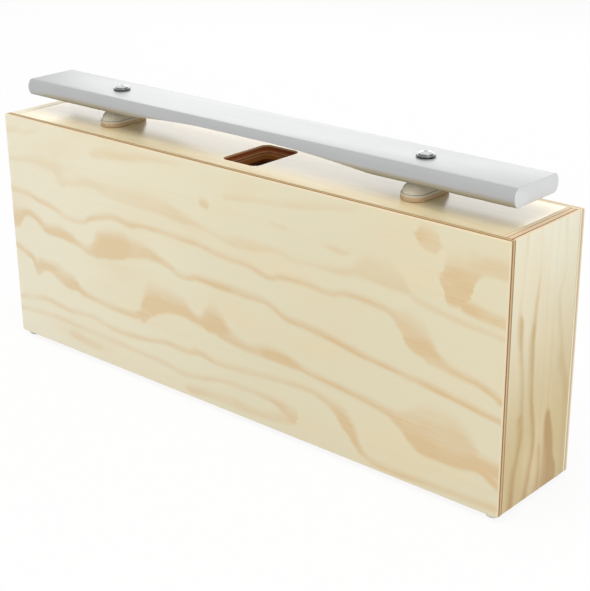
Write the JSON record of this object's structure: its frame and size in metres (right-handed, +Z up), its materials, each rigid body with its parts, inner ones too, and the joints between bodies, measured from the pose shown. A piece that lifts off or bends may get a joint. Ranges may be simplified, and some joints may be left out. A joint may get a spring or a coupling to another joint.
{
  "type": "tone bar on a resonator box",
  "caption": "Tuned aluminium tone bar with an undercut arch, floating on felt supports above the sound hole of a closed plywood resonator box on small rubber feet.",
  "frame": {"origin": "on the table under the middle of the box, level with the undersides of the feet", "axes": "+X along the box and the bar, +Y towards the back panel, +Z up"},
  "size_m": [0.45, 0.08, 0.2075],
  "materials": {
    "plywood": "pale pine plywood, sanded and clear matt",
    "bar_aluminium": "satin, fine grained",
    "felt": "off-white pressed wool felt",
    "cork": "tan cork, matt",
    "sleeve_plastic": "natural nylon",
    "zinc": "bright zinc plating",
    "foot_rubber": "milky translucent rubber"
  },
  "bodies": {
    "resonator_box": {"front_panel": "plywood", "back_panel": "plywood", "left_end_panel": "plywood", "right_end_panel": "plywood", "top_panel": "plywood", "bottom_panel": "plywood", "left_pad": "felt", "right_pad": "felt", "left_base_plate": "cork", "right_base_plate": "cork", "left_sleeve": "sleeve_plastic", "right_sleeve": "sleeve_plastic", "left_washer": "zinc", "right_washer": "zinc", "left_screw": "zinc", "right_screw": "zinc", "front_left_foot": "foot_rubber", "front_right_foot": "foot_rubber", "back_left_foot": "foot_rubber", "back_right_foot": "foot_rubber"},
    "tone_bar": {"tone_bar": "bar_aluminium"}
  },
  "joints": [
    {"name": "bar_lift", "type": "slide", "parent": "resonator_box", "child": "tone_bar", "axis": [0, 0, 1], "range_m": [0, 0.0004]}
  ]
}
